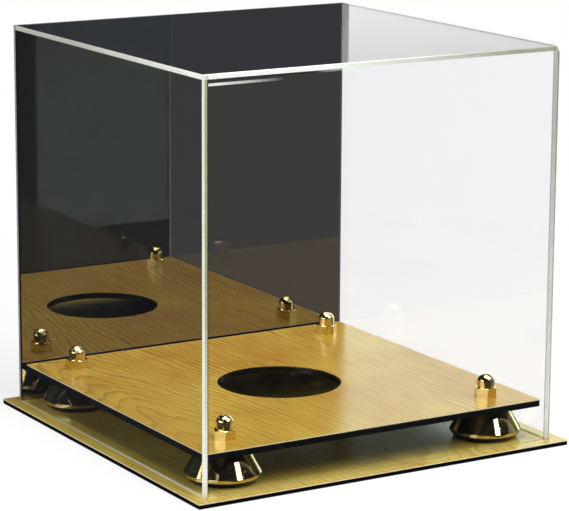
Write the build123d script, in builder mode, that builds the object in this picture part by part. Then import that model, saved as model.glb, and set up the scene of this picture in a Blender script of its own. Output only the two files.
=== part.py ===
from build123d import *
from math import cos, radians, sqrt, tan
import os

# Table-top display case: a clear lift-off cover with a mirror back, over a woodgrain platform
# that stands on four turned risers above a wider base. All sizes are in millimetres.
# +Z is up and the clear front panel faces -Y. The origin is the middle of the base's underside.

# Cover
cover_width = 256.0  # outside, along X
cover_depth = 256.0  # outside, along Y, front panel and mirror included
cover_height = 256.0  # from the base's top to the top of the cover
cover_sheet = 3.0  # thickness of the clear sheet and of the mirror
polished_edge = 0.3  # small bevel on the outer edges of the lid, the front panel and the mirror
corner_round = 6.0  # the front right corner of the top is sanded round

# Boards
base_margin = 8.5  # how far the base stands out beyond the cover on every side
base_board_thickness = 2.5
platform_board_thickness = 4.0
woodgrain_thickness = 0.5  # laminate on top of both boards
base_corner_radius = 0.8
platform_corner_radius = 1.2
platform_gap_side = 1.5  # clearance from the platform to each side wall of the cover
platform_gap_front = 3.0  # clearance from the platform to the front panel and to the mirror
seat_diameter = 82.0  # round hole that seats a sphere of 216 mm

# Risers
post_inset = 27.5  # from the cover's inner walls to the axes of risers, screws and nuts
riser_height = 21.5
riser_foot_diameter = 39.6  # where it stands on the laminate
riser_foot_height = 3.6  # undercut foot, up to the rim
riser_rim_diameter = 46.0
riser_rim_height = 2.1  # straight band at the widest place
riser_top_diameter = 27.6
riser_wall = 2.6  # metal left between the outside and the hollow
riser_boss_diameter = 12.0  # column around the screw inside the hollow
riser_roof = 4.5  # solid metal above the hollow
riser_rim_round = 0.3
riser_top_round = 0.5

# Screws
screw_diameter = 6.0
screw_head_diameter = 10.6
screw_head_angle = 90.0
screw_head_recess = 0.2  # how deep the flat head lies above the base's underside
screw_tip_bevel = 0.6
hole_clearance = 0.4  # added to the screw diameter in boards, laminate and risers
driver_slot_length = 5.6
driver_slot_width = 1.3
driver_slot_depth = 1.4

# Acorn nuts
nut_sides = 6
nut_across_flats = 12.7
nut_hex_height = 6.3
nut_height = 15.2
nut_crown_diameter = 11.0
nut_crown_curve = 4.0  # height of the rounded top of the crown
nut_shoulder_round = 2.0  # where the crown's side meets its rounded top
nut_chamfer_angle = 30.0
nut_thread_depth = 10.0
thread_engagement = 8.5
thread_clearance = 0.1  # on the diameter
nut_turns = {"front_left": 4.0, "front_right": 5.0, "back_left": 24.0, "back_right": 41.0}

# Levels, widths and places that follow from the sizes above
base_width = cover_width + 2 * base_margin
base_depth = cover_depth + 2 * base_margin
base_top = base_board_thickness + woodgrain_thickness
cover_top = base_top + cover_height
riser_top = base_top + riser_height
platform_board_top = riser_top + platform_board_thickness
platform_top = platform_board_top + woodgrain_thickness
inside_width = cover_width - 2 * cover_sheet
inside_depth = cover_depth - 2 * cover_sheet
wall_height = cover_height - cover_sheet
platform_width = inside_width - 2 * platform_gap_side
platform_depth = inside_depth - 2 * platform_gap_front
post_spacing_x = inside_width - 2 * post_inset
post_spacing_y = inside_depth - 2 * post_inset
hole_radius = (screw_diameter + hole_clearance) / 2
screw_radius = screw_diameter / 2
screw_top = platform_top + thread_engagement
nut_top = platform_top + nut_height
rim_bottom = base_top + riser_foot_height
rim_top = rim_bottom + riser_rim_height
riser_slope = (riser_rim_diameter - riser_top_diameter) / 2 / (riser_top - rim_top)
head_slope = tan(radians(screw_head_angle / 2))
sink_radius = screw_head_diameter / 2 + screw_head_recess * head_slope
screw_neck = screw_head_recess + (screw_head_diameter / 2 - screw_radius) / head_slope
underside = Plane(origin=(0, 0, 0), z_dir=(0, 0, -1))
corners = {"front_left": (-1, -1), "front_right": (1, -1), "back_left": (-1, 1), "back_right": (1, 1)}

os.makedirs("parts", exist_ok=True)

# Base board: black gloss sheet, countersunk from below for the four screws
with BuildPart() as base_board:
    with BuildSketch() as base_board_outline:
        RectangleRounded(base_width, base_depth, base_corner_radius)
    extrude(amount=base_board_thickness)
    with Locations(underside):
        with GridLocations(post_spacing_x, post_spacing_y, 2, 2):
            CounterSinkHole(hole_radius, sink_radius, counter_sink_angle=screw_head_angle)
base_board.part.label = "base_board"
export_step(base_board.part, "parts/base_board.step")

# Woodgrain laminate on the base, cut by the same holes, so that a thin board still takes the heads
with BuildPart() as base_woodgrain:
    with BuildSketch(Plane.XY.offset(base_board_thickness)) as base_woodgrain_outline:
        RectangleRounded(base_width, base_depth, base_corner_radius)
    extrude(amount=woodgrain_thickness)
    with Locations(underside):
        with GridLocations(post_spacing_x, post_spacing_y, 2, 2):
            CounterSinkHole(hole_radius, sink_radius, counter_sink_angle=screw_head_angle)
base_woodgrain.part.label = "base_woodgrain_sheet"
export_step(base_woodgrain.part, "parts/base_woodgrain_sheet.step")

# Platform board, with the round seat and the screw holes
with BuildPart() as platform_board:
    with BuildSketch(Plane.XY.offset(riser_top)) as platform_board_outline:
        RectangleRounded(platform_width, platform_depth, platform_corner_radius)
        Circle(seat_diameter / 2, mode=Mode.SUBTRACT)
        with GridLocations(post_spacing_x, post_spacing_y, 2, 2):
            Circle(hole_radius, mode=Mode.SUBTRACT)
    extrude(amount=platform_board_thickness)
platform_board.part.label = "platform_board"
export_step(platform_board.part, "parts/platform_board.step")

# Woodgrain laminate on the platform, cut with the same holes
with BuildPart() as platform_woodgrain:
    with BuildSketch(Plane.XY.offset(platform_board_top)) as platform_woodgrain_outline:
        RectangleRounded(platform_width, platform_depth, platform_corner_radius)
        Circle(seat_diameter / 2, mode=Mode.SUBTRACT)
        with GridLocations(post_spacing_x, post_spacing_y, 2, 2):
            Circle(hole_radius, mode=Mode.SUBTRACT)
    extrude(amount=woodgrain_thickness)
platform_woodgrain.part.label = "platform_woodgrain_sheet"
export_step(platform_woodgrain.part, "parts/platform_woodgrain_sheet.step")

# Riser, screw and acorn nut at each corner
for corner, (side_x, side_y) in corners.items():
    post_x = side_x * post_spacing_x / 2
    post_y = side_y * post_spacing_y / 2
    post_axis = Axis((post_x, post_y, 0), (0, 0, 1))
    post_section = Plane(origin=(post_x, post_y, 0), x_dir=(1, 0, 0), z_dir=(0, -1, 0))

    # Riser: turned cone with a straight rim and an undercut foot, hollow underneath around a bored
    # column for the screw
    hollow_top = riser_top - riser_roof
    with BuildPart() as riser:
        with BuildSketch(post_section) as riser_section:
            with BuildLine():
                Polyline(
                    (hole_radius, base_top),
                    (riser_boss_diameter / 2, base_top),
                    (riser_boss_diameter / 2, hollow_top),
                    (riser_top_diameter / 2 + riser_roof * riser_slope - riser_wall, hollow_top),
                    (riser_rim_diameter / 2 - riser_wall, rim_top),
                    (riser_foot_diameter / 2 - riser_wall, base_top),
                    (riser_foot_diameter / 2, base_top),
                    (riser_rim_diameter / 2, rim_bottom),
                    (riser_rim_diameter / 2, rim_top),
                    (riser_top_diameter / 2, riser_top),
                    (hole_radius, riser_top),
                    close=True,
                )
            make_face()
            rim_corners = riser_section.vertices().group_by(Axis.X)[-1]
            top_corner = riser_section.vertices().group_by(Axis.Y)[-1].sort_by(Axis.X).last
            fillet(rim_corners, radius=riser_rim_round)
            fillet(top_corner, radius=riser_top_round)
        revolve(axis=post_axis)
    riser.part.label = "riser_" + corner
    export_step(riser.part, "parts/riser_" + corner + ".step")

    # Flat-head machine screw, from the base's underside up into the nut
    with BuildPart() as screw:
        with BuildSketch(post_section) as screw_section:
            with BuildLine():
                Polyline(
                    (0, screw_head_recess),
                    (screw_head_diameter / 2, screw_head_recess),
                    (screw_radius, screw_neck),
                    (screw_radius, screw_top - screw_tip_bevel),
                    (screw_radius - screw_tip_bevel, screw_top),
                    (0, screw_top),
                    close=True,
                )
            make_face()
        revolve(axis=post_axis)
        with BuildSketch(Plane(origin=(post_x, post_y, screw_head_recess))) as driver_cross:
            Rectangle(driver_slot_length, driver_slot_width, rotation=nut_turns[corner])
            Rectangle(driver_slot_width, driver_slot_length, rotation=nut_turns[corner])
        extrude(amount=driver_slot_depth, mode=Mode.SUBTRACT)
    screw.part.label = "screw_" + corner
    export_step(screw.part, "parts/screw_" + corner + ".step")

    # Acorn nut: a hexagon with turned-down corners and a closed crown, threaded from below
    hex_corner_radius = nut_across_flats / 2 / cos(radians(180 / nut_sides))
    chamfer_drop = (hex_corner_radius - nut_across_flats / 2) * tan(radians(nut_chamfer_angle))
    nut_hex_top = platform_top + nut_hex_height
    crown_shoulder = nut_top - nut_crown_curve
    crown_radius = ((nut_crown_diameter / 2) ** 2 + nut_crown_curve**2) / (2 * nut_crown_curve)
    with BuildPart() as nut:
        with BuildSketch(Plane(origin=(post_x, post_y, platform_top))) as nut_hexagon:
            RegularPolygon(nut_across_flats / 2, nut_sides, major_radius=False, rotation=nut_turns[corner])
        extrude(amount=nut_hex_height)
        with BuildSketch(post_section) as corner_section:
            with BuildLine():
                Polyline(
                    (0, platform_top),
                    (hex_corner_radius, platform_top),
                    (hex_corner_radius, nut_hex_top - chamfer_drop),
                    (nut_across_flats / 2, nut_hex_top),
                    (0, nut_hex_top),
                    close=True,
                )
            make_face()
        revolve(axis=post_axis, mode=Mode.INTERSECT)
        with BuildSketch(post_section) as crown_section:
            with BuildLine():
                Line((0, platform_top), (nut_crown_diameter / 2, platform_top))
                Line((nut_crown_diameter / 2, platform_top), (nut_crown_diameter / 2, crown_shoulder))
                RadiusArc((nut_crown_diameter / 2, crown_shoulder), (0, nut_top), -crown_radius)
                Line((0, nut_top), (0, platform_top))
            make_face()
            shoulder_corner = crown_section.vertices().group_by(Axis.X)[-1].sort_by(Axis.Y).last
            fillet(shoulder_corner, radius=nut_shoulder_round)
        revolve(axis=post_axis)
        with BuildSketch(Plane(origin=(post_x, post_y, platform_top))) as nut_thread:
            Circle((screw_diameter + thread_clearance) / 2)
        extrude(amount=nut_thread_depth, mode=Mode.SUBTRACT)
    nut.part.label = "nut_" + corner
    export_step(nut.part, "parts/nut_" + corner + ".step")

# What sanding takes off the front right corner of the top: outside a sphere that leaves a rounded
# corner on each of the three faces that meet there
round_x = cover_width / 2 - corner_round
round_y = corner_round - cover_depth / 2
with BuildPart() as corner_trim:
    with Locations((round_x, round_y, cover_top - corner_round)):
        Box(corner_round, corner_round, corner_round, align=(Align.MIN, Align.MAX, Align.MIN))
        Sphere(corner_round * sqrt(2), mode=Mode.SUBTRACT)

# Side walls of the cover: flat clear sheets between the front panel and the mirror, under the lid
for side, side_x in {"left": -1, "right": 1}.items():
    wall_middle = side_x * (cover_width - cover_sheet) / 2
    with BuildPart() as wall:
        with BuildSketch(Plane.XY.offset(base_top)) as wall_footprint:
            with Locations((wall_middle, 0)):
                Rectangle(cover_sheet, inside_depth)
        extrude(amount=wall_height)
        add(corner_trim.part, mode=Mode.SUBTRACT)
    wall.part.label = side + "_wall"
    export_step(wall.part, "parts/" + side + "_wall.step")

# Lid panel: lies on both walls, so its cut edges show on the left and right
with BuildPart() as lid_panel:
    with BuildSketch(Plane.XY.offset(cover_top)) as lid_outline:
        Rectangle(cover_width, inside_depth)
    extrude(amount=-cover_sheet)
    chamfer(lid_panel.edges().filter_by(Axis.Y).group_by(Axis.Z)[-1], length=polished_edge)
    add(corner_trim.part, mode=Mode.SUBTRACT)
lid_panel.part.label = "lid_panel"
export_step(lid_panel.part, "parts/lid_panel.step")

# Front panel: covers the front ends of both walls and of the lid
with BuildPart() as front_panel:
    with BuildSketch(Plane.XZ.offset(inside_depth / 2)) as front_outline:
        with Locations((0, base_top)):
            Rectangle(cover_width, cover_height, align=(Align.CENTER, Align.MIN))
    extrude(amount=cover_sheet)
    chamfer(front_panel.faces().sort_by(Axis.Y).first.edges(), length=polished_edge)
    add(corner_trim.part, mode=Mode.SUBTRACT)
front_panel.part.label = "front_panel"
export_step(front_panel.part, "parts/front_panel.step")

# Mirror panel: covers the back ends of both walls and of the lid
with BuildPart() as mirror_panel:
    with BuildSketch(Plane.XZ.offset(-inside_depth / 2)) as mirror_outline:
        with Locations((0, base_top)):
            Rectangle(cover_width, cover_height, align=(Align.CENTER, Align.MIN))
    extrude(amount=-cover_sheet)
    chamfer(mirror_panel.faces().sort_by(Axis.Y).last.edges(), length=polished_edge)
mirror_panel.part.label = "mirror_panel"
export_step(mirror_panel.part, "parts/mirror_panel.step")
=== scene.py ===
# Display case: camera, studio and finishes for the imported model.
import math
import bpy
import numpy as np
from mathutils import Matrix, Vector


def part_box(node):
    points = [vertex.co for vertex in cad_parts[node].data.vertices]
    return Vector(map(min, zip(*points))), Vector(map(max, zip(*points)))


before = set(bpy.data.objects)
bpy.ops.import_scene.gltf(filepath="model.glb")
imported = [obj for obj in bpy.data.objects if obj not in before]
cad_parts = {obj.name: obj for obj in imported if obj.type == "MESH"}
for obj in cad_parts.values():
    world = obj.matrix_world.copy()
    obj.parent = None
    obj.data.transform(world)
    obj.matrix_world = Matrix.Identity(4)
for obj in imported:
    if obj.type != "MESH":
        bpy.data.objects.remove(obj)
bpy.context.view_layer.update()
print("packed model loaded:", len(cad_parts), "pieces")


def linear(hexColour):
    # sRGB hex to linear: below the toe a straight line, above it a power of 2.4
    levels = [int(hexColour[i:i + 2], 16) / 255 for i in (1, 3, 5)]
    return [v / 12.92 if v <= 0.04045 else ((v + 0.055) / 1.055) ** 2.4 for v in levels] + [1.0]


def add(tree, kind, inputs=None, out=None, **settings):
    # one node: sockets are linked, plain values are set, settings go on the node itself
    made = tree.nodes.new("ShaderNode" + kind)
    for name, value in settings.items():
        setattr(made, name, value)
    for name, value in (inputs or {}).items():
        if isinstance(value, bpy.types.NodeSocket):
            tree.links.new(value, made.inputs[name])
        else:
            made.inputs[name].default_value = value
    return made if out is None else made.outputs[out]


def newMaterial(name):
    made = bpy.data.materials.new(name)
    made.use_nodes = True
    made.node_tree.nodes.clear()
    return made, made.node_tree


def finishMaterial(tree, shader):
    add(tree, "OutputMaterial", {"Surface": shader})


def beyond(tree, coordinate, limit):
    # 1 where the coordinate lies further from the middle than the limit
    out = add(tree, "Math", {0: coordinate}, 0, operation="ABSOLUTE")
    return add(tree, "Math", {0: out, 1: limit}, 0, operation="GREATER_THAN")


def between(tree, coordinate, low, high):
    # 1 where the coordinate lies between two places
    return add(tree, "Math", {0: coordinate, 1: (low + high) / 2, 2: (high - low) / 2}, 0,
               operation="COMPARE")


def strongest(tree, *pairs):
    # the largest of several masks, each times its own weight
    best = None
    for mask, weight in pairs:
        value = add(tree, "Math", {0: mask, 1: weight}, 0, operation="MULTIPLY")
        if best is not None:
            value = add(tree, "Math", {0: best, 1: value}, 0, operation="MAXIMUM")
        best = value
    return best


def paint(material, *nodeNames):
    for name in nodeNames:
        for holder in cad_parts[name].material_slots:
            holder.material = material


# Camera: the place and lens that the photograph was fitted with
cameraView = {
    "azimuth": -31.16,  # degrees, negative to the left of the front
    "elevation": 12.38,
    "roll": 0.32,
    "distance": 1.730,  # metres from the aim point
    "aimHeight": 0.140,
    "aimRight": 0.00351,  # shift of the aim point in the picture plane
    "aimUp": -0.02536,
    "lens": 167.76,  # millimetres
    "sensor": 36.0,
    "nearest": 0.01,
    "farthest": 60,
}


def awayFrom(station):
    # direction from the case to a camera or lamp: azimuth 0 is the front, negative is to its left
    azimuth, elevation = math.radians(station["azimuth"]), math.radians(station["elevation"])
    return Vector((math.sin(azimuth) * math.cos(elevation), -math.cos(azimuth) * math.cos(elevation),
                   math.sin(elevation)))


def buildCamera():
    azimuth, roll = math.radians(cameraView["azimuth"]), math.radians(cameraView["roll"])
    back = awayFrom(cameraView)
    right = Vector((math.cos(azimuth), math.sin(azimuth), 0))
    up = back.cross(right)
    right, up = (right * math.cos(roll) + up * math.sin(roll),
                 up * math.cos(roll) - right * math.sin(roll))
    aim = Vector((0, 0, cameraView["aimHeight"]))
    aim += right * cameraView["aimRight"] + up * cameraView["aimUp"]
    data = bpy.data.cameras.new("camera")
    data.lens, data.sensor_width = cameraView["lens"], cameraView["sensor"]
    data.clip_start, data.clip_end = cameraView["nearest"], cameraView["farthest"]
    camera = bpy.data.objects.new("camera", data)
    bpy.context.scene.collection.objects.link(camera)
    turn = Matrix((right, up, back)).transposed().to_4x4()
    camera.matrix_world = Matrix.Translation(aim + back * cameraView["distance"]) @ turn
    bpy.context.scene.camera = camera


buildCamera()
print("camera placed")


# Studio: softboxes round the case, each by its direction from the middle of the case
softboxes = {
    "overheadSoftbox": {"azimuth": 20, "elevation": 78, "distance": 1.6,
                        "width": 1.1, "height": 1.1, "power": 27.5},
    "leftSoftbox": {"azimuth": -82, "elevation": 17.5, "distance": 1.5,
                    "width": 1.4, "height": 0.6, "power": 8.5},
    "rightSoftbox": {"azimuth": 38, "elevation": 42, "distance": 1.5,
                     "width": 1.2, "height": 0.5, "power": 12.0},
}
studio = {
    "lampAim": 0.10,  # height that the softboxes point at
    "ambient": "#3E3E3E",  # what the room gives to matt surfaces
    "roomDark": "#303339",  # what shiny surfaces see of the room near the horizon
    "roomAbove": "#0C0C0D",  # and overhead
    "roomFade": (0.25, 0.55),  # heights of the view direction between the two
    "straightWhite": "#FFFFFF",  # background and table as the eye sees them without a mirror
    "floorPale": "#F3F2EF",
    "floorDark": "#303135",  # the same table in reflections
    "floorRings": (0.3, 1.0, 3.0, 12.0),  # radii of the table's rings of points
    "floorSegments": 96,
    "floorDrop": 0.0002,  # the table lies this far under the case, so that their faces don't mix
    "shadowShare": 0.26,  # how much of the cast shadow the white floor keeps
    "shadowReach": (0.25, 0.7),  # distances from the middle over which the shadow ends
    "cardBright": 1.85,  # white card beside the case, seen in reflections only
    "cardDim": 0.6,
    "cardLow": "#E2F8EC",
    "cardHigh": "#F8F8F8",
    "cardFade": (0.12, 0.30),  # heights above the table between low and high
    "cardSize": (1.1, 0.45),
    "cardGap": 0.006,  # between the card and the corner of the cover
}


def buildLamps():
    for name, box in softboxes.items():
        away = awayFrom(box)
        data = bpy.data.lights.new(name, "AREA")
        data.shape = "RECTANGLE"
        data.size, data.size_y = box["width"], box["height"]
        data.energy = box["power"]
        lamp = bpy.data.objects.new(name, data)
        bpy.context.scene.collection.objects.link(lamp)
        turn = away.to_track_quat("Z", "Y").to_matrix().to_4x4()
        middle = away * box["distance"] + Vector((0, 0, studio["lampAim"]))
        lamp.matrix_world = Matrix.Translation(middle) @ turn
        lamp.visible_camera = False


def bounced(tree, depth):
    # 1 once the light path has a bounce of that kind behind it
    return add(tree, "Math", {0: add(tree, "LightPath", out=depth), 1: 0.5}, 0,
               operation="GREATER_THAN")


def buildWorld():
    world = bpy.data.worlds.new("studioRoom")
    bpy.context.scene.world = world
    world.use_nodes = True
    tree = world.node_tree
    tree.nodes.clear()
    mirrored = bounced(tree, "Glossy Depth")
    height = add(tree, "SeparateXYZ", {0: add(tree, "TexCoord", out="Generated")}, "Z")
    low, high = studio["roomFade"]
    height = add(tree, "MapRange", {"Value": height, "From Min": low, "From Max": high}, 0)
    dim = add(tree, "Mix", {0: height, 6: linear(studio["roomDark"]), 7: linear(studio["roomAbove"])},
              2, data_type="RGBA")
    room = add(tree, "Mix", {0: mirrored, 6: linear(studio["straightWhite"]), 7: dim}, 2,
               data_type="RGBA")
    diffuseRay = add(tree, "LightPath", out="Is Diffuse Ray")
    shown = add(tree, "Mix", {0: diffuseRay, 6: room, 7: linear(studio["ambient"])}, 2,
                data_type="RGBA")
    light = add(tree, "Background", {"Color": shown, "Strength": 1.0}, 0)
    add(tree, "OutputWorld", {"Surface": light})


def stagePiece(name, points, faces, material):
    mesh = bpy.data.meshes.new(name)
    mesh.from_pydata(points, [], faces)
    mesh.materials.append(material)
    piece = bpy.data.objects.new(name, mesh)
    bpy.context.scene.collection.objects.link(piece)
    return piece


def whitePaintedTable():
    # white to the eye with a soft cast shadow; in reflections as dark as the dimmed studio round it
    material, tree = newMaterial("whitePaintedTable")
    place = add(tree, "TexCoord", out="Object")
    away = add(tree, "VectorMath", {0: place}, "Value", operation="LENGTH")
    mirrored, matt = bounced(tree, "Glossy Depth"), bounced(tree, "Diffuse Depth")
    pale = add(tree, "BsdfDiffuse", {"Color": linear(studio["floorPale"])}, 0)
    dark = add(tree, "Emission", {"Color": linear(studio["floorDark"]), "Strength": 1.0}, 0)
    white = add(tree, "Emission", {"Color": linear(studio["straightWhite"]), "Strength": 1.0}, 0)
    near, far = studio["shadowReach"]
    whole = add(tree, "MapRange", {"Value": away, "From Min": near, "From Max": far,
                                   "To Min": 1 - studio["shadowShare"], "To Max": 1.0}, 0)
    straight = add(tree, "Math", {0: whole, 1: matt}, 0, operation="SUBTRACT", use_clamp=True)
    seen = add(tree, "MixShader", {0: straight, 1: pale, 2: white}, 0)
    top = add(tree, "MixShader", {0: mirrored, 1: seen, 2: dark}, 0)
    below = add(tree, "NewGeometry", out="Backfacing")
    clear = add(tree, "BsdfTransparent", out=0)
    finishMaterial(tree, add(tree, "MixShader", {0: below, 1: top, 2: clear}, 0))
    return material


def litFoamBoard():
    # brighter near the table, and only reflections show it
    material, tree = newMaterial("litFoamBoard")
    place = add(tree, "TexCoord", out="Object")
    height = add(tree, "SeparateXYZ", {0: place}, "Z")
    low, high = studio["cardFade"]
    height = add(tree, "MapRange", {"Value": height, "From Min": low, "From Max": high}, 0)
    level = add(tree, "MapRange", {"Value": height, "To Min": studio["cardBright"],
                                   "To Max": studio["cardDim"]}, 0)
    white = add(tree, "Mix", {0: height, 6: linear(studio["cardLow"]), 7: linear(studio["cardHigh"])},
                2, data_type="RGBA")
    lit = add(tree, "Emission", {"Color": white, "Strength": level}, 0)
    clear = add(tree, "BsdfTransparent", out=0)
    mirrored = bounced(tree, "Glossy Depth")
    finishMaterial(tree, add(tree, "MixShader", {0: mirrored, 1: clear, 2: lit}, 0))
    return material


def buildStage():
    # the floor is a flat disc: each point lies at a ring's radius times the cosine and sine of its
    # turn, the first ring is joined to the middle and each further ring to the one inside it
    turns = np.linspace(0, 2 * math.pi, studio["floorSegments"] + 1)[:-1]
    radii = np.array(studio["floorRings"])
    level = -studio["floorDrop"]
    ring = np.stack([np.outer(radii, np.cos(turns)), np.outer(radii, np.sin(turns)),
                     np.full((len(radii), len(turns)), level)], -1)
    points = np.vstack([[0, 0, level], ring.reshape(-1, 3)])
    here, count = np.arange(len(turns)), len(turns)
    after = (here + 1) % count
    middle = np.stack([0 * here, 1 + here, 1 + after], -1)
    inside = 1 + count * np.arange(len(radii) - 1)[:, None]
    bands = np.stack([inside + here, inside + count + here, inside + count + after,
                      inside + after], -1)
    faces = middle.tolist() + bands.reshape(-1, 4).tolist()
    stagePiece("studioFloor", points.tolist(), faces, whitePaintedTable())

    low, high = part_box("mirror_panel")
    left, back, (wide, tall) = high[0] + studio["cardGap"], high[1], studio["cardSize"]
    right = left + wide
    card = stagePiece("whiteCard", [(left, back, 0), (right, back, 0), (right, back, tall),
                                    (left, back, tall)], [(0, 1, 2, 3)], litFoamBoard())
    card.visible_shadow = card.visible_diffuse = False


buildLamps()
buildWorld()
buildStage()
print("studio built:", len(softboxes), "softboxes")


# Woodgrain laminate: printed maple paper under a satin melamine layer, so golden, fine-lined and
# half glossy
laminate = {
    "line": "#5E3206",
    "cutEdge": "#D9C9A0",
    "cutWidth": 0.00025,  # how far the pale trim reaches onto the face
    "ringWidth": 0.0035,  # one year's growth
    "ringTremble": 0.55,  # share of a year's growth by which a line wavers
    "lateSharpness": 4.5,  # higher draws thinner late-wood lines
    "heartShare": 0.45,  # strength of the lines over the heart, where the arches are wide
    "heartReach": (0.040, 0.085),  # distances from the heart between weak and full lines
    "ringBend": 0.012,  # how far the rings wander
    "bendPerMetre": (20, 6, 1),  # bends 50 mm across and 170 mm along the board
    "tremblePerMetre": (260, 16, 1),  # wavers 4 mm across and 60 mm along it
    "faintestYear": 0.55,  # strength of the faintest late-wood line
    "fleckWidth": 0.0011,  # short pores in the print, drawn coarser than the real 0.3 mm
    "fleckLength": 0.030,
    "cloudPerMetre": 14.0,  # soft changes of tone 70 mm across
    "toneShare": 0.55,  # of flecks and of clouds in the tone
    "toneRange": (0.38, 0.74),
    "roughness": 0.24,
    "ior": 1.5,
}
# each sheet's own printed colours, strength of its lines, and where the tree's heart ran, in metres
platformSheet = {"light": "#D6B348", "middle": "#B07A20", "lines": 0.95,
                 "across": -0.103, "under": 0.040, "lean": 0.13}
# the base's paler, greener colours partly paint in the glare on it
baseSheetWithPaintedGlare = {"light": "#CFB85C", "middle": "#A88A36", "lines": 0.55,
             "across": 0.045, "under": 0.055, "lean": -0.10}


def woodgrainLaminate(name, nodeName, sheet):
    # growth rings of a leaning tree: the ring number is the distance from the heart, which runs under
    # the board and slowly away from it, divided by the ring width, so the lines run along the board
    # and close into arches over the heart; each ring ends in a thin brown late-wood line
    material, tree = newMaterial(name)
    place = add(tree, "TexCoord", out="Object")
    parts = add(tree, "SeparateXYZ", {0: place})
    bendPlace = add(tree, "VectorMath", {0: place, 1: laminate["bendPerMetre"]}, 0,
                    operation="MULTIPLY")
    bend = add(tree, "TexNoise", {"Vector": bendPlace, "Scale": 1.0, "Detail": 2.0}, 1)
    bend = add(tree, "VectorMath", {0: bend, "Scale": laminate["ringBend"] * 2}, 0, operation="SCALE")
    under = add(tree, "Math", {0: parts.outputs[1], 1: sheet["lean"], 2: sheet["under"]}, 0,
                operation="MULTIPLY_ADD")
    across = add(tree, "Math", {0: parts.outputs[0], 1: sheet["across"]}, 0, operation="SUBTRACT")
    section = add(tree, "CombineXYZ", {0: across, 1: under, 2: 0.0}, 0)
    section = add(tree, "VectorMath", {0: section, 1: bend}, 0, operation="ADD")
    section = add(tree, "VectorMath", {0: section, 1: (1, 1, 0)}, 0, operation="MULTIPLY")
    reach = add(tree, "VectorMath", {0: section}, "Value", operation="LENGTH")
    tremblePlace = add(tree, "VectorMath", {0: place, 1: laminate["tremblePerMetre"]}, 0,
                       operation="MULTIPLY")
    tremble = add(tree, "TexNoise", {"Vector": tremblePlace, "Scale": 1.0, "Detail": 3.0}, 0)
    rings = add(tree, "Math", {0: reach, 1: laminate["ringWidth"]}, 0, operation="DIVIDE")
    rings = add(tree, "Math", {0: tremble, 1: laminate["ringTremble"], 2: rings}, 0,
                operation="MULTIPLY_ADD")
    late = add(tree, "Math", {0: rings}, 0, operation="FRACT")
    late = add(tree, "Math", {0: late, 1: laminate["lateSharpness"]}, 0, operation="POWER")
    year = add(tree, "Math", {0: rings}, 0, operation="FLOOR")
    year = add(tree, "TexWhiteNoise", {"W": year}, 0, noise_dimensions="1D")
    year = add(tree, "MapRange", {"Value": year, "To Min": laminate["faintestYear"], "To Max": 1.0},
               0)

    fleckPlace = add(tree, "VectorMath", {0: place, 1: (1 / laminate["fleckWidth"],
                     1 / laminate["fleckLength"], 1.0)}, 0, operation="MULTIPLY")
    fleck = add(tree, "TexNoise", {"Vector": fleckPlace, "Scale": 1.0, "Detail": 2.0}, 0)
    cloud = add(tree, "TexNoise", {"Vector": place, "Scale": laminate["cloudPerMetre"],
                                   "Detail": 2.0}, 0)
    tone = add(tree, "Math", {0: fleck, 1: laminate["toneShare"]}, 0, operation="MULTIPLY")
    tone = add(tree, "Math", {0: cloud, 1: laminate["toneShare"], 2: tone}, 0,
               operation="MULTIPLY_ADD")
    palest, deepest = laminate["toneRange"]
    tone = add(tree, "MapRange", {"Value": tone, "From Min": palest, "From Max": deepest}, 0)
    ground = add(tree, "Mix", {0: tone, 6: linear(sheet["light"]), 7: linear(sheet["middle"])}, 2,
                 data_type="RGBA")
    near, far = laminate["heartReach"]
    young = add(tree, "MapRange", {"Value": reach, "From Min": near, "From Max": far,
                                   "To Min": laminate["heartShare"] * sheet["lines"],
                                   "To Max": sheet["lines"]}, 0)
    strength = add(tree, "Math", {0: late, 1: year}, 0, operation="MULTIPLY")
    strength = add(tree, "Math", {0: strength, 1: young}, 0, operation="MULTIPLY")
    lined = add(tree, "Mix", {0: strength, 6: ground, 7: linear(laminate["line"])}, 2,
                data_type="RGBA")

    # the trimmed edge shows the pale paper core, and the trim rounds over onto the face
    low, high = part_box(nodeName)
    overX = beyond(tree, parts.outputs[0], high[0] - laminate["cutWidth"])
    overY = beyond(tree, parts.outputs[1], high[1] - laminate["cutWidth"])
    rim = add(tree, "Math", {0: overX, 1: overY}, 0, operation="MAXIMUM")
    colour = add(tree, "Mix", {0: rim, 6: lined, 7: linear(laminate["cutEdge"])}, 2, data_type="RGBA")

    rough = add(tree, "Math", {0: cloud, 1: 0.10, 2: laminate["roughness"] - 0.05}, 0,
                operation="MULTIPLY_ADD")
    rough = add(tree, "Math", {0: rim, 1: 0.3, 2: rough}, 0, operation="MULTIPLY_ADD")
    relief = add(tree, "Math", {0: late, 1: -0.5, 2: fleck}, 0, operation="MULTIPLY_ADD")
    bump = add(tree, "Bump", {"Height": relief, "Strength": 0.06, "Distance": 0.0002}, 0)
    shader = add(tree, "BsdfPrincipled", {"Base Color": colour, "Roughness": rough, "Normal": bump,
                                          "IOR": laminate["ior"]}, 0)
    finishMaterial(tree, shader)
    return material


# the two sheets are printed with different boards, and the base's paler, greener print also paints in
# glare
paint(woodgrainLaminate("mapleLaminatePlatform", "platform_woodgrain_sheet", platformSheet),
      "platform_woodgrain_sheet")
paint(woodgrainLaminate("mapleLaminateBase", "base_woodgrain_sheet", baseSheetWithPaintedGlare),
      "base_woodgrain_sheet")
print("laminate done")


# Black acrylic board: cast sheet, cut with a saw and flame-polished, so deep black with a hard gloss
blackSheet = {
    "colour": "#070707",
    "haze": "#16161A",
    "roughness": 0.07,
    "ior": 1.49,
    "sawPitch": 0.0012,  # drawn coarser than the real 0.3 mm so that it shows
    "cloudPerMetre": 30.0,  # uneven polish, 33 mm across
    "dustPerMetre": 900.0,  # specks of 1 mm, drawn coarser than real dust so that they show
    "dustRange": (0.62, 0.80),
    "dustStrength": 0.5,
}


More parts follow.
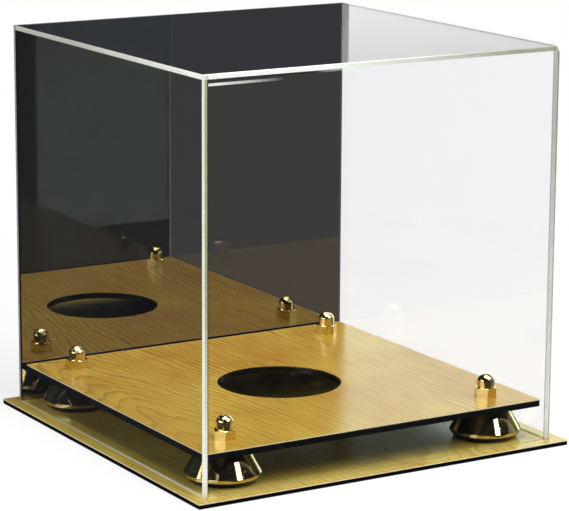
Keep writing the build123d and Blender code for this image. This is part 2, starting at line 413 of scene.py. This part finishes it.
def blackAcrylic():
    # dust in the gloss everywhere, and saw marks where the face stands upright
    material, tree = newMaterial("blackCastAcrylic")
    place = add(tree, "TexCoord", out="Object")
    cloud = add(tree, "TexNoise", {"Vector": place, "Scale": blackSheet["cloudPerMetre"],
                                   "Detail": 4.0}, 0)
    dust = add(tree, "TexNoise", {"Vector": place, "Scale": blackSheet["dustPerMetre"],
                                  "Detail": 2.0}, 0)
    clean, dusty = blackSheet["dustRange"]
    dust = add(tree, "MapRange", {"Value": dust, "From Min": clean, "From Max": dusty,
                                  "To Max": blackSheet["dustStrength"]}, 0)
    colour = add(tree, "Mix", {0: dust, 6: linear(blackSheet["colour"]),
                               7: linear(blackSheet["haze"])}, 2, data_type="RGBA")
    side = add(tree, "SeparateXYZ", {0: add(tree, "NewGeometry", out="Normal")}, "Z")
    side = add(tree, "Math", {0: side}, 0, operation="ABSOLUTE")
    side = add(tree, "Math", {0: side, 1: 0.5}, 0, operation="LESS_THAN")
    saw = add(tree, "TexWave", {"Vector": place, "Scale": math.pi / (5 * blackSheet["sawPitch"]),
                                "Distortion": 3.0, "Detail": 2.0, "Detail Scale": 4.0}, 1,
              bands_direction="DIAGONAL")
    sawn = add(tree, "Math", {0: saw, 1: side}, 0, operation="MULTIPLY")
    rough = add(tree, "Math", {0: cloud, 1: 0.08, 2: blackSheet["roughness"] - 0.03}, 0,
                operation="MULTIPLY_ADD")
    rough = add(tree, "Math", {0: sawn, 1: 0.10, 2: rough}, 0, operation="MULTIPLY_ADD")
    bump = add(tree, "Bump", {"Height": sawn, "Strength": 0.12, "Distance": 0.0001}, 0)
    shader = add(tree, "BsdfPrincipled", {"Base Color": colour, "Roughness": rough, "Normal": bump,
                                          "IOR": blackSheet["ior"]}, 0)
    finishMaterial(tree, shader)
    return material


paint(blackAcrylic(), "base_board", "platform_board")
print("black boards done")


# Gold plate: thin bright gold over polished brass, so warm mirror reflections with faint lathe lines
gold = {
    "colour": "#F6E6A6",
    "worn": "#DCC888",
    "paintedFootShade": "#3A3222",  # painted shade: the undercut foot is coloured dark as if in its own contact shadow
    "footTop": 0.0067,  # height of the riser's rim above the table
    "roughness": 0.05,
    "lathePitch": 0.0007,  # drawn coarser than the real 0.1 mm so that it shows
    "cloudPerMetre": 120.0,  # changes of tone 8 mm across
    "handledPerMetre": 420.0,  # finger marks of 2 mm
    "handledRange": (0.55, 0.75),
    "handledRoughness": 0.09,
}


def goldPlate():
    # handling dulls the gloss in patches, lathe lines run round each piece, and below the rim the
    # foot is painted dark as shade
    material, tree = newMaterial("goldPlatedBrass")
    place = add(tree, "TexCoord", out="Object")
    cloud = add(tree, "TexNoise", {"Vector": place, "Scale": gold["cloudPerMetre"],
                                   "Detail": 4.0}, 0)
    colour = add(tree, "Mix", {0: cloud, 6: linear(gold["colour"]), 7: linear(gold["worn"])}, 2,
                 data_type="RGBA")
    # painted shade: below the rim height the riser's foot takes the dark colour
    height = add(tree, "SeparateXYZ", {0: place}, "Z")
    under = add(tree, "Math", {0: height, 1: gold["footTop"]}, 0, operation="LESS_THAN")
    colour = add(tree, "Mix", {0: under, 6: colour, 7: linear(gold["paintedFootShade"])}, 2, data_type="RGBA")
    handled = add(tree, "TexNoise", {"Vector": place, "Scale": gold["handledPerMetre"],
                                     "Detail": 3.0}, 0)
    bright, handledMost = gold["handledRange"]
    handled = add(tree, "MapRange", {"Value": handled, "From Min": bright, "From Max": handledMost,
                                     "To Max": gold["handledRoughness"]}, 0)
    rough = add(tree, "Math", {0: handled, 1: gold["roughness"]}, 0, operation="ADD")
    lathe = add(tree, "TexWave", {"Vector": place, "Scale": math.pi / (10 * gold["lathePitch"]),
                                  "Distortion": 0.6, "Detail": 1.0}, 1, bands_direction="Z")
    bump = add(tree, "Bump", {"Height": lathe, "Strength": 0.03, "Distance": 0.00005}, 0)
    shader = add(tree, "BsdfPrincipled", {"Base Color": colour, "Roughness": rough, "Normal": bump,
                                          "Metallic": 1.0}, 0)
    finishMaterial(tree, shader)
    return material


def cornerNodes(kind):
    return [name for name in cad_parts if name.startswith(kind + "_")]


paint(goldPlate(), *cornerNodes("riser"), *cornerNodes("nut"))
print("gold pieces done:", len(cornerNodes("riser")) + len(cornerNodes("nut")))


# Screws: zinc-plated steel, bluish grey and slightly dull, with the spangle of the bath; its clear
# chromate film scatters some of the light
zinc = {
    "colour": "#C4C9CE",
    "dull": "#999EA4",
    "roughness": 0.34,
    "metallic": 0.6,
    "spanglePerMetre": 300.0,  # spangle of 3 mm
}


def zincPlate():
    # the spangle varies the grey, the gloss and the relief together
    material, tree = newMaterial("zincPlatedSteel")
    place = add(tree, "TexCoord", out="Object")
    spangle = add(tree, "TexNoise", {"Vector": place, "Scale": zinc["spanglePerMetre"],
                                     "Detail": 5.0}, 0)
    colour = add(tree, "Mix", {0: spangle, 6: linear(zinc["colour"]), 7: linear(zinc["dull"])}, 2,
                 data_type="RGBA")
    rough = add(tree, "Math", {0: spangle, 1: 0.25, 2: zinc["roughness"] - 0.1}, 0,
                operation="MULTIPLY_ADD")
    bump = add(tree, "Bump", {"Height": spangle, "Strength": 0.1, "Distance": 0.0001}, 0)
    shader = add(tree, "BsdfPrincipled", {"Base Color": colour, "Roughness": rough, "Normal": bump,
                                          "Metallic": zinc["metallic"]}, 0)
    finishMaterial(tree, shader)
    return material


paint(zincPlate(), *cornerNodes("screw"))
print("screws done")


# Clear acrylic: cast sheet with hard clean faces; its cut edges are sawn and scraped, so they are
# milky and gather light, painted on as a glow, with painted shade where they turn grey away from the
# near left corner; the joints are run with solvent cement that dries white in places
clearSheet = {
    "tint": "#FEFEFE",
    "through": "#F6F8F7",  # light that passes on to matt surfaces
    # painted glow: white light that a sheet gives off by itself
    "paintedGlow": "#FFFFFF",
    "cut": "#F8FAF4",
    "cutInShade": "#9DA08F",  # painted shade: the same edges greyed away from the near left corner
    "cutRoughness": 0.4,
    "seamAndPaintedDark": "#14161A",  # the shut line of a cemented joint; under the lid it is painted dark, standing in for the dark mirror seen through the joint
    "paintedOliveReflection": "#98A06C",  # painted reflection: an olive tone in the near upright joint, standing in for the wood seen in it
    "paintedEdgeGlow": 0.08,  # painted glow: emission standing in for light that a sheet carries to its own edges
    "ior": 1.49,
    "sawPitch": 0.0024,  # drawn coarser than the real 0.5 mm so that it shows
    "streakPerMetre": 110.0,  # scraper marks of 9 mm
}
faceSkin = 0.0001  # metres from a face within which a place counts as lying on it
# where painted shade greys the cut edges: to the right, upwards and to the rear
cutShadeFalloff = {
    "right": (-0.04, 0.10),
    "up": (0.02, 0.22),
    "foot": 0.25,  # share that is left at the foot
    "rear": (-0.12, 0.04),
    "rearShare": 0.7,
    "sawShare": 0.15,
}
# how milky each kind of place is, from 0, clear, to 1, white
milky = {
    "lidEdge": 0.95,
    "lidFront": 0.97,
    "lidFrontRight": 0.80,
    "lidFrontReach": (-0.02, 0.10),  # between the two, from left to right
    "lidBack": 0.35,
    "wallEnd": 0.08,
    "paintedReflectionJoint": 0.70,
    "paintedReflectionFrom": (0.015, 0.12),  # heights over which the painted reflection in the near upright joint comes in
    "wallFoot": 0.90,
    "footHeight": 0.0005,  # how far up the walls the scraped foot shows
    "frontFoot": 0.35,
    "frontEdge": 0.80,
    "bead": 0.80,
    "paintedDarkLine": 0.95,
    "shutUpright": 0.5,
    "patchy": (1.1, 0.82),  # factors for the smoothest and the most sawn places
}
bevel = {"lid": 0.0004, "front": 0.0002}  # how far in from its edges each panel is milky
# run of cement on the front panel, measured from its top; it thins out towards the right
bead = {"below": 0.0054, "width": 0.0016, "fullAt": -0.118, "goneAt": -0.074}
# painted dark line under the lid's joint, standing in for the dark mirror seen through it: full on
# the left, fading out towards the right
shut = {"width": 0.0012, "from": -0.118, "darkTo": -0.050, "goneAt": -0.025, "upright": 0.0007}


def clearAcrylic(name, cloudiness, paintedGlow=0.0):
    # cloudiness works out how milky a place is, where a joint shows its dark shut line, painted dark
    # along the lid as the mirror seen through it, and where an olive reflection is painted on the
    # near upright joint; the last argument is a painted glow that hazes the whole sheet
    material, tree = newMaterial(name)
    place = add(tree, "TexCoord", out="Object")
    parts = add(tree, "SeparateXYZ", {0: place})
    # the glass gives off a painted white glow at the strength of the last argument
    glass = add(tree, "BsdfPrincipled", {"Base Color": linear(clearSheet["tint"]), "Roughness": 0.0,
                                         "IOR": clearSheet["ior"], "Transmission Weight": 1.0,
                                         "Emission Color": linear(clearSheet["paintedGlow"]),
                                         "Emission Strength": paintedGlow}, 0)
    saw = add(tree, "TexWave", {"Vector": place, "Scale": math.pi / (5 * clearSheet["sawPitch"]),
                                "Distortion": 7.0, "Detail": 2.0}, 1, bands_direction="DIAGONAL")
    streak = add(tree, "TexNoise", {"Vector": place, "Scale": clearSheet["streakPerMetre"],
                                    "Detail": 3.0}, 0)
    patchy = add(tree, "Math", {0: saw, 1: streak}, 0, operation="MULTIPLY")
    # painted light and shade: the cut is whitest at the near left corner and the foot, and greyer to
    # the right and to the rear, mixed with the saw marks
    right, up, rear = cutShadeFalloff["right"], cutShadeFalloff["up"], cutShadeFalloff["rear"]
    toRight = add(tree, "MapRange", {"Value": parts.outputs[0], "From Min": right[0],
                                     "From Max": right[1]}, 0)
    toTop = add(tree, "MapRange", {"Value": parts.outputs[2], "From Min": up[0], "From Max": up[1],
                                   "To Min": cutShadeFalloff["foot"]}, 0)
    toRear = add(tree, "MapRange", {"Value": parts.outputs[1], "From Min": rear[0],
                                    "From Max": rear[1], "To Max": cutShadeFalloff["rearShare"]}, 0)
    # dull holds the painted shade of the edges together with the saw marks
    dull = add(tree, "Math", {0: toRight, 1: toTop}, 0, operation="MULTIPLY")
    dull = add(tree, "Math", {0: dull, 1: toRear}, 0, operation="MAXIMUM")
    dull = add(tree, "Math", {0: patchy, 1: cutShadeFalloff["sawShare"], 2: dull}, 0,
               operation="MULTIPLY_ADD", use_clamp=True)
    milk = add(tree, "Mix", {0: dull, 6: linear(clearSheet["cut"]), 7: linear(clearSheet["cutInShade"])},
               2, data_type="RGBA")
    cloudy, seamAndPaintedDark, paintedOliveReflection = cloudiness(tree, parts)
    milk = add(tree, "Mix", {0: paintedOliveReflection, 6: milk, 7: linear(clearSheet["paintedOliveReflection"])}, 2, data_type="RGBA")
    milk = add(tree, "Mix", {0: seamAndPaintedDark, 6: milk, 7: linear(clearSheet["seamAndPaintedDark"])}, 2, data_type="RGBA")
    # the milky edges give off a painted glow in their own colour
    cut = add(tree, "BsdfPrincipled", {"Base Color": milk, "Roughness": clearSheet["cutRoughness"],
                                       "IOR": clearSheet["ior"], "Emission Color": milk,
                                       "Emission Strength": clearSheet["paintedEdgeGlow"]}, 0)
    smooth, sawn = milky["patchy"]
    patchy = add(tree, "MapRange", {"Value": patchy, "To Min": smooth, "To Max": sawn}, 0)
    cloudy = add(tree, "Math", {0: cloudy, 1: patchy}, 0, operation="MULTIPLY", use_clamp=True)
    sheet = add(tree, "MixShader", {0: cloudy, 1: glass, 2: cut}, 0)
    # lamps and matt surfaces reach each other straight through the sheet
    path = add(tree, "LightPath")
    passing = add(tree, "Math", {0: path.outputs["Is Shadow Ray"], 1: path.outputs["Is Diffuse Ray"]},
                  0, operation="MAXIMUM")
    through = add(tree, "BsdfTransparent", {"Color": linear(clearSheet["through"])}, 0)
    finishMaterial(tree, add(tree, "MixShader", {0: passing, 1: sheet, 2: through}, 0))
    return material


def lidJoint(tree, parts):
    # cement between the lid and the front panel, whiter on the left
    left, right = milky["lidFrontReach"]
    return add(tree, "MapRange", {"Value": parts.outputs[0], "From Min": left, "From Max": right,
                                  "To Min": milky["lidFront"], "To Max": milky["lidFrontRight"]}, 0)


def wallCloud(tree, parts):
    # the cemented ends are nearly clear, the scraped foot is milky
    low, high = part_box("left_wall")
    ends = beyond(tree, parts.outputs[1], high[1] - faceSkin)
    foot = add(tree, "Math", {0: parts.outputs[2], 1: low[2] + milky["footHeight"]}, 0,
               operation="LESS_THAN")
    return strongest(tree, (ends, milky["wallEnd"]), (foot, milky["wallFoot"])), 0.0, 0.0


def lidCloud(tree, parts):
    # sawn sides, and cement along the front and the back
    low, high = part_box("lid_panel")
    sides = beyond(tree, parts.outputs[0], high[0] - bevel["lid"])
    front = between(tree, parts.outputs[1], low[1] - faceSkin, low[1] + faceSkin)
    back = between(tree, parts.outputs[1], high[1] - faceSkin, high[1] + faceSkin)
    return strongest(tree, (sides, milky["lidEdge"]), (front, lidJoint(tree, parts)),
                     (back, milky["lidBack"])), 0.0, 0.0


def frontCloud(tree, parts):
    # on the inner face: bands where the lid and the walls are cemented on, a run of cement below the
    # lid's band, the dark shut lines beside both, the one under the lid painted dark as the mirror
    # seen through it, and a painted olive reflection in the near upright joint; round the panel: its
    # sawn edges
    low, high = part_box("front_panel")
    across, up = parts.outputs[0], parts.outputs[2]
    thick = high[1] - low[1]
    lidUnder, wallInside, leftInside = high[2] - thick, high[0] - thick, low[0] + thick
    inner = between(tree, parts.outputs[1], high[1] - faceSkin, high[1] + faceSkin)
    jointTop = add(tree, "Math", {0: up, 1: lidUnder}, 0, operation="GREATER_THAN")
    jointSide = beyond(tree, across, wallInside)

    runHigh = high[2] - bead["below"]
    run = between(tree, up, runHigh - bead["width"], runHigh)
    run = add(tree, "Math", {0: run, 1: jointSide}, 0, operation="SUBTRACT", use_clamp=True)
    thinning = add(tree, "MapRange", {"Value": across, "From Min": bead["fullAt"],
                                      "From Max": bead["goneAt"], "To Min": milky["bead"],
                                      "To Max": 0.0}, 0)

    # painted dark line under the lid's joint, fading out to the right
    paintedDarkLine = between(tree, up, lidUnder - shut["width"], lidUnder)
    pastCorner = add(tree, "Math", {0: across, 1: shut["from"]}, 0, operation="GREATER_THAN")
    paintedDarkLine = add(tree, "Math", {0: paintedDarkLine, 1: pastCorner}, 0, operation="MULTIPLY")
    darkness = add(tree, "MapRange", {"Value": across, "From Min": shut["darkTo"],
                                      "From Max": shut["goneAt"], "To Min": 1.0, "To Max": 0.0}, 0)
    paintedDarkLine = add(tree, "Math", {0: paintedDarkLine, 1: darkness}, 0, operation="MULTIPLY")
    out = add(tree, "Math", {0: across}, 0, operation="ABSOLUTE")
    shutUpright = between(tree, out, wallInside - shut["upright"], wallInside + faceSkin)
    seamAndPaintedDark = strongest(tree, (paintedDarkLine, inner), (shutUpright, inner))

    nearLeft = add(tree, "Math", {0: across, 1: leftInside}, 0, operation="LESS_THAN")
    # painted reflection: the near upright joint turns olive with height
    start, full = milky["paintedReflectionFrom"]
    paintedOliveReflection = add(tree, "MapRange", {"Value": up, "From Min": start, "From Max": full}, 0)
    paintedOliveReflection = add(tree, "Math", {0: nearLeft, 1: paintedOliveReflection}, 0, operation="MULTIPLY")
    paintedOliveReflection = add(tree, "Math", {0: paintedOliveReflection, 1: inner}, 0, operation="MULTIPLY")

    onFace = strongest(tree, (jointTop, lidJoint(tree, parts)), (jointSide, milky["wallEnd"]),
                       (run, thinning), (nearLeft, milky["paintedReflectionJoint"]),
                       (paintedDarkLine, milky["paintedDarkLine"]), (shutUpright, milky["shutUpright"]))
    onFace = add(tree, "Math", {0: onFace, 1: inner}, 0, operation="MULTIPLY")
    sides = beyond(tree, across, high[0] - bevel["front"])
    top = add(tree, "Math", {0: up, 1: high[2] - bevel["front"]}, 0, operation="GREATER_THAN")
    foot = add(tree, "Math", {0: up, 1: low[2] + bevel["front"]}, 0, operation="LESS_THAN")
    cloudy = strongest(tree, (onFace, 1.0), (sides, milky["frontEdge"]), (top, milky["frontEdge"]),
                       (foot, milky["frontFoot"]))
    return cloudy, seamAndPaintedDark, paintedOliveReflection


paint(clearAcrylic("clearAcrylicLeftWall", wallCloud), "left_wall")
paint(clearAcrylic("clearAcrylicRightWall", wallCloud, paintedGlow=0.05), "right_wall")  # painted glow that lightens the right wall
paint(clearAcrylic("clearAcrylicLid", lidCloud), "lid_panel")
paint(clearAcrylic("clearAcrylicFront", frontCloud), "front_panel")
print("clear cover done")


# Mirror: acrylic mirror sheet, silvered face inside the case, dark glossy cut edges, and grey backing
# paint with a sprayed orange-peel skin outside
mirrorSheet = {
    "silver": "#A09E98",
    "edge": "#1B1D1F",
    "core": "#A9ADAE",  # the clear middle of the cut edge, between the silver and the backing
    "coreFrom": 0.0007,  # behind the silvered face
    "coreTo": 0.0010,  # before the back
    "backing": "#6E7276",
    "scuff": "#8A8D90",
    "silverDepth": 0.0002,
    "paintDepth": 0.0004,
    "roughness": 0.004,
    "edgeRoughness": 0.12,
    "paintRoughness": 0.45,
    "sprayPerMetre": 700.0,  # orange peel of 1.4 mm
    "wavePerMetre": 9.0,  # the sheet swells over 110 mm
    "scuffPerMetre": 35.0,  # scuffs of 30 mm
    "scuffRange": (0.55, 0.80),
    "scuffStrength": 0.5,
}


def acrylicMirror():
    # from front to back: silver, the glossy cut edge with its clear core, and the backing paint
    material, tree = newMaterial("silveredAcrylicMirror")
    low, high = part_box("mirror_panel")
    place = add(tree, "TexCoord", out="Object")
    depth = add(tree, "SeparateXYZ", {0: place}, "Y")
    behind = add(tree, "Math", {0: depth, 1: low[1] + mirrorSheet["silverDepth"]}, 0,
                 operation="GREATER_THAN")
    painted = add(tree, "Math", {0: depth, 1: high[1] - mirrorSheet["paintDepth"]}, 0,
                  operation="GREATER_THAN")
    spray = add(tree, "TexNoise", {"Vector": place, "Scale": mirrorSheet["sprayPerMetre"],
                                   "Detail": 3.0}, 0)
    wave = add(tree, "TexNoise", {"Vector": place, "Scale": mirrorSheet["wavePerMetre"],
                                  "Detail": 1.0}, 0)
    scuff = add(tree, "TexNoise", {"Vector": place, "Scale": mirrorSheet["scuffPerMetre"],
                                   "Detail": 5.0}, 0)
    clean, scuffed = mirrorSheet["scuffRange"]
    scuff = add(tree, "MapRange", {"Value": scuff, "From Min": clean, "From Max": scuffed,
                                   "To Max": mirrorSheet["scuffStrength"]}, 0)
    paintCoat = add(tree, "Mix", {0: scuff, 6: linear(mirrorSheet["backing"]),
                                  7: linear(mirrorSheet["scuff"])}, 2, data_type="RGBA")
    core = between(tree, depth, low[1] + mirrorSheet["coreFrom"], high[1] - mirrorSheet["coreTo"])
    edge = add(tree, "Mix", {0: core, 6: linear(mirrorSheet["edge"]), 7: linear(mirrorSheet["core"])},
               2, data_type="RGBA")
    rear = add(tree, "Mix", {0: painted, 6: edge, 7: paintCoat}, 2, data_type="RGBA")
    colour = add(tree, "Mix", {0: behind, 6: linear(mirrorSheet["silver"]), 7: rear}, 2,
                 data_type="RGBA")
    metal = add(tree, "Math", {0: 1.0, 1: behind}, 0, operation="SUBTRACT")
    rough = strongest(tree, (metal, mirrorSheet["roughness"]), (behind, mirrorSheet["edgeRoughness"]),
                      (painted, mirrorSheet["paintRoughness"]))
    relief = add(tree, "Math", {0: spray, 1: painted}, 0, operation="MULTIPLY")
    bump = add(tree, "Bump", {"Height": relief, "Strength": 0.15, "Distance": 0.0001}, 0)
    swell = add(tree, "Bump", {"Height": wave, "Strength": 0.02, "Distance": 0.0004,
                               "Normal": bump}, 0)
    shader = add(tree, "BsdfPrincipled", {"Base Color": colour, "Roughness": rough, "Metallic": metal,
                                          "Normal": swell}, 0)
    finishMaterial(tree, shader)
    return material


paint(acrylicMirror(), "mirror_panel")
print("mirror done")

bpy.context.scene.view_settings.view_transform = "Standard"
